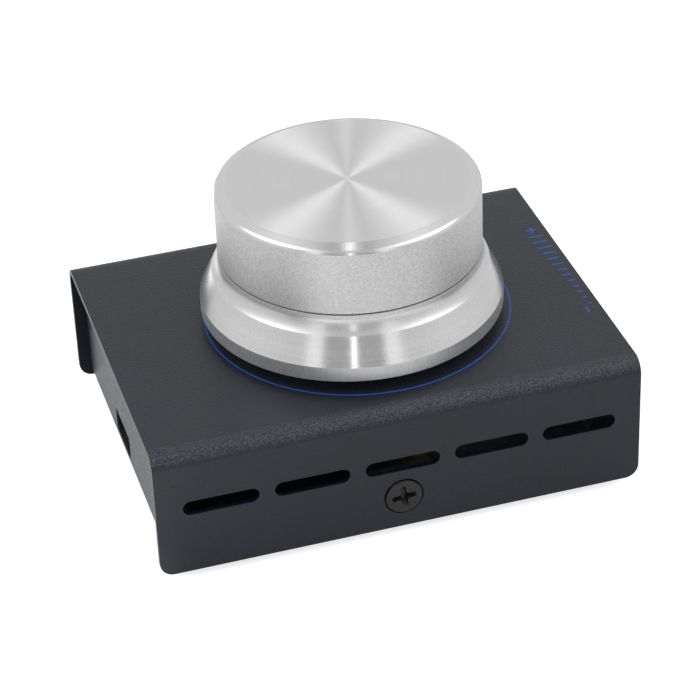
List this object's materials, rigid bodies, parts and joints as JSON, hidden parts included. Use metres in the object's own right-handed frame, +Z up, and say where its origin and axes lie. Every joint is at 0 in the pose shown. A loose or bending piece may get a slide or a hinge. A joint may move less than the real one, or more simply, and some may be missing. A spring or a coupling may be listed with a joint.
{
  "type": "usb volume control knob",
  "caption": "Desk volume control: a large turned aluminium knob that turns without end and presses to mute, on a folded black sheet-metal case with a USB socket.",
  "frame": {"origin": "on the desk, under the middle of the case", "axes": "+X along the case away from the socket end, +Y from the front flange to the back, +Z up along the knob's axis"},
  "size_m": [0.088, 0.0668, 0.0528],
  "materials": {
    "black_coat": "fine textured black powder coat",
    "aluminium": "turned, part blasted and part polished",
    "rubber": "matte",
    "black_steel": "black oxide",
    "plated_steel": "nickel plated",
    "brass": "turned",
    "gold_contact": "gold flash",
    "board": "green solder mask",
    "black_plastic": "moulded",
    "white_plastic": "moulded",
    "capacitor_sleeve": "shrunk sleeve",
    "ceramic": "fired"
  },
  "bodies": {
    "enclosure": {"top_cover": "black_coat", "base_tray": "black_coat", "foot_1": "rubber", "foot_2": "rubber", "foot_3": "rubber", "foot_4": "rubber", "cover_screw_front": "black_steel", "cover_screw_back": "black_steel", "clinch_nut_front": "plated_steel", "clinch_nut_back": "plated_steel", "main_board": "board", "standoff_1": "brass", "standoff_2": "brass", "standoff_3": "brass", "standoff_4": "brass", "board_screw_1": "plated_steel", "board_screw_2": "plated_steel", "board_screw_3": "plated_steel", "board_screw_4": "plated_steel", "usb_shell": "plated_steel", "usb_tongue": "black_plastic", "usb_contacts": "gold_contact", "controller_chip": "black_plastic", "chip_leads": "plated_steel", "crystal_can": "plated_steel", "bulk_capacitor": "capacitor_sleeve", "small_chips": "ceramic", "header_socket": "black_plastic", "header_plug": "black_plastic", "header_pins": "gold_contact", "encoder_board": "board", "encoder_bush": "plated_steel", "encoder_housing": "black_plastic", "encoder_clamp": "plated_steel", "encoder_washer": "plated_steel", "encoder_nut": "plated_steel", "encoder_pins": "gold_contact", "switch_pins": "gold_contact", "detent_spring": "plated_steel", "switch_dome": "plated_steel"},
    "rotor": {"code_wheel": "white_plastic", "contact_disc": "gold_contact"},
    "knob": {"encoder_shaft": "aluminium", "shaft_clip": "plated_steel", "knob_hub": "black_plastic", "knob_body": "aluminium"},
    "mute_plunger": {"switch_plunger": "white_plastic"}
  },
  "joints": [
    {"name": "knob_turn", "type": "hinge", "parent": "enclosure", "child": "rotor", "pos_m": [0.0017, 0.0011, 0.0251], "axis": [0, 0, -1], "continuous": true},
    {"name": "knob_press", "type": "slide", "parent": "rotor", "child": "knob", "axis": [0, 0, -1], "range_m": [0, 0.0005], "stiffness_N_per_m": 4000, "springref_m": -0.0008},
    {"name": "plunger_slide", "type": "slide", "parent": "enclosure", "child": "mute_plunger", "axis": [0, 0, -1], "range_m": [0, 0.0005], "deforming": ["switch_dome"]}
  ],
  "couplings": [
    {"joint": "plunger_slide", "follows": "knob_press", "ratio": 1}
  ]
}
